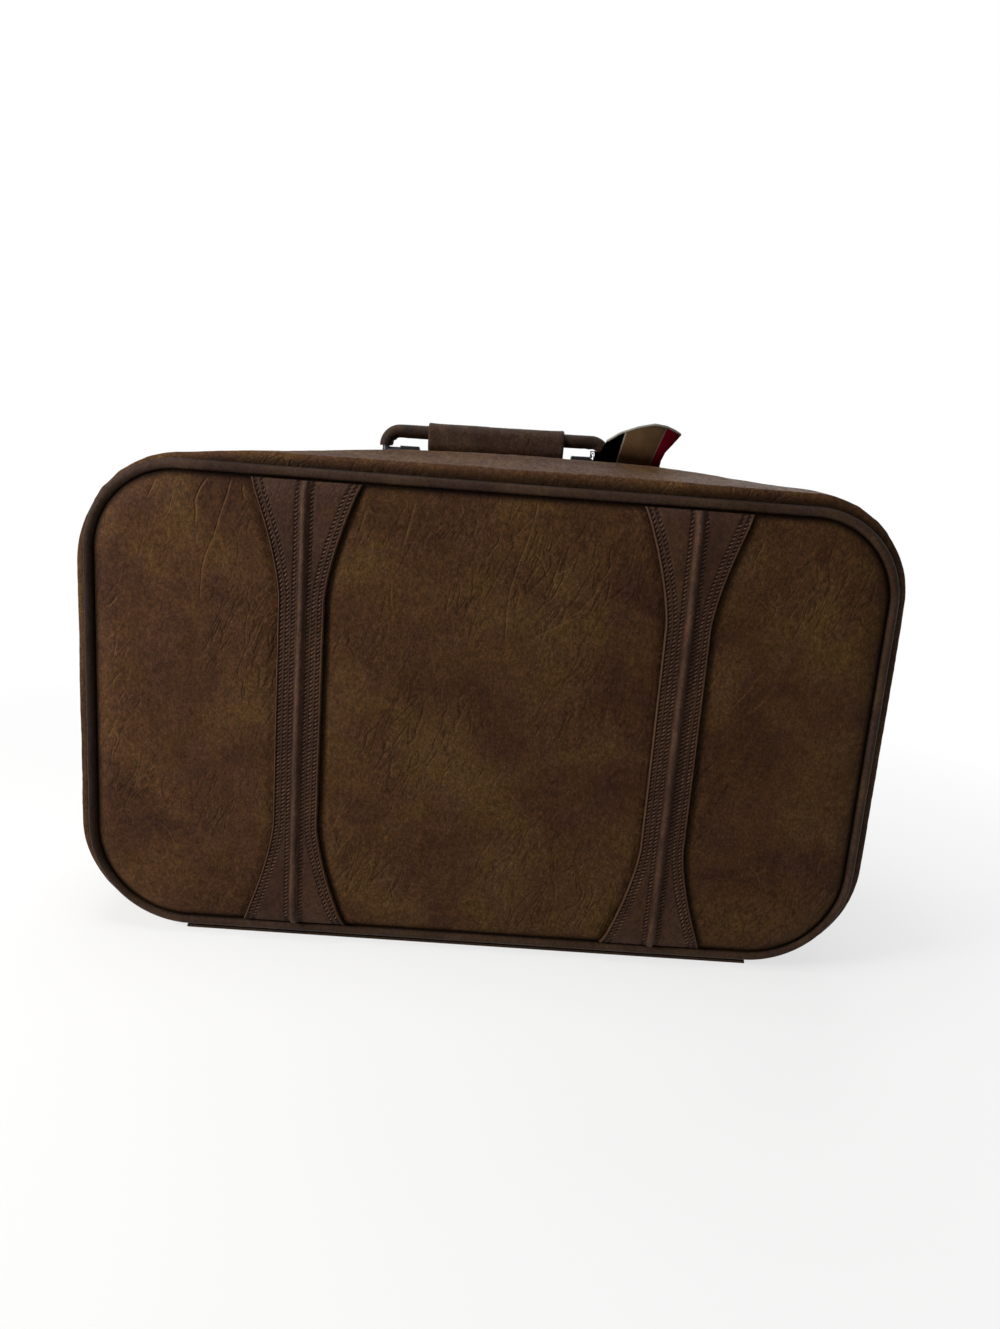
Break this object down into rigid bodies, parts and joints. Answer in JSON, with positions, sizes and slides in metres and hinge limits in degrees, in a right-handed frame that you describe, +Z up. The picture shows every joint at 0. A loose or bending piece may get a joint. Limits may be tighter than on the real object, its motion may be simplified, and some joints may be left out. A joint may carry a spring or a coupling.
{
  "type": "suitcase",
  "caption": "Soft-sided zip suitcase in brown vinyl with piped edges, two shaped straps, a covered rod handle and a lid hinged along the bottom.",
  "frame": {"origin": "middle of the footprint on the floor, under the closed case", "axes": "+X to the right along the width as seen from the lid, +Y from the lid to the back, +Z up to the handle"},
  "size_m": [0.621, 0.1928, 0.4249],
  "materials": {
    "panel_vinyl": "mottled brown vinyl with a fine leather grain",
    "gusset_vinyl": "brown vinyl, wrinkled round the corners",
    "strap_vinyl": "darker brown vinyl, stitched",
    "piping_vinyl": "smooth dark brown vinyl",
    "base_vinyl": "dark brown vinyl strip",
    "cover_vinyl": "dark brown vinyl wrapped round the rod",
    "grip_vinyl": "brown vinyl grip sleeve",
    "tag_vinyl": "stiff sheet with plain colour bands",
    "fibre_board": "pressed fibre board",
    "steel": "sprung steel",
    "bracket_steel": "dark stamped steel",
    "chrome": "polished",
    "brass": "aged brass",
    "zip_tape": "woven tape",
    "lining_cloth": "plain woven lining",
    "elastic": "ribbed elastic",
    "webbing": "woven webbing"
  },
  "bodies": {
    "case_body": {"back_panel": "panel_vinyl", "back_board": "fibre_board", "back_piping": "piping_vinyl", "body_gusset": "gusset_vinyl", "body_frame": "steel", "body_lining": "lining_cloth", "body_zip_tape": "zip_tape", "body_zip_teeth": "brass", "body_base_strip": "base_vinyl", "tie_strap_left": "webbing", "tie_strap_right": "webbing", "tie_clasp": "chrome", "left_handle_bracket": "bracket_steel", "right_handle_bracket": "bracket_steel", "handle_rivets": "chrome", "tag_ring": "chrome", "hinge_strip": "base_vinyl"},
    "lid": {"front_panel": "panel_vinyl", "front_board": "fibre_board", "front_piping": "piping_vinyl", "lid_gusset": "gusset_vinyl", "lid_frame": "steel", "lid_lining": "lining_cloth", "lid_zip_tape": "zip_tape", "lid_zip_teeth": "brass", "lid_base_strip": "base_vinyl", "lid_pocket": "lining_cloth", "lid_pocket_elastic": "elastic", "left_strap": "strap_vinyl", "right_strap": "strap_vinyl", "left_strap_bead": "strap_vinyl", "right_strap_bead": "strap_vinyl"},
    "slider_left": {"slider_left": "brass"},
    "slider_right": {"slider_right": "brass"},
    "pull_left": {"pull_left": "brass"},
    "pull_right": {"pull_right": "brass"},
    "handle": {"handle_rod": "steel", "handle_cover": "cover_vinyl", "handle_grip": "grip_vinyl"},
    "tag": {"luggage_tag": "tag_vinyl"}
  },
  "joints": [
    {"name": "lid_hinge", "type": "hinge", "parent": "case_body", "child": "lid", "pos_m": [0, 0.0024, -0.0003], "axis": [1, 0, 0], "range_deg": [0, 178], "deforming": ["hinge_strip"]},
    {"name": "handle_pivot", "type": "hinge", "parent": "case_body", "child": "handle", "pos_m": [-0.0061, 0.0274, 0.39127], "axis": [0.9999, 0, 0.0161], "range_deg": [-60, 0]},
    {"name": "slider_left_slide", "type": "slide", "parent": "case_body", "child": "slider_left", "axis": [-0.9992, 0, -0.0396], "range_m": [0, 0.11]},
    {"name": "pull_left_flip", "type": "hinge", "parent": "slider_left", "child": "pull_left", "pos_m": [-0.01329, 0.0024, 0.38793], "axis": [0, 1, 0], "range_deg": [0, 100]},
    {"name": "slider_right_slide", "type": "slide", "parent": "case_body", "child": "slider_right", "axis": [1, 0, -0.0038], "range_m": [0, 0.11]},
    {"name": "pull_right_flip", "type": "hinge", "parent": "slider_right", "child": "pull_right", "pos_m": [0.00092, 0.0024, 0.38819], "axis": [0, 1, 0], "range_deg": [-100, 0]},
    {"name": "tag_swing", "type": "hinge", "parent": "case_body", "child": "tag", "pos_m": [0.0754, 0.02434, 0.39855], "axis": [0, 1, 0], "range_deg": [-35, 0]}
  ]
}
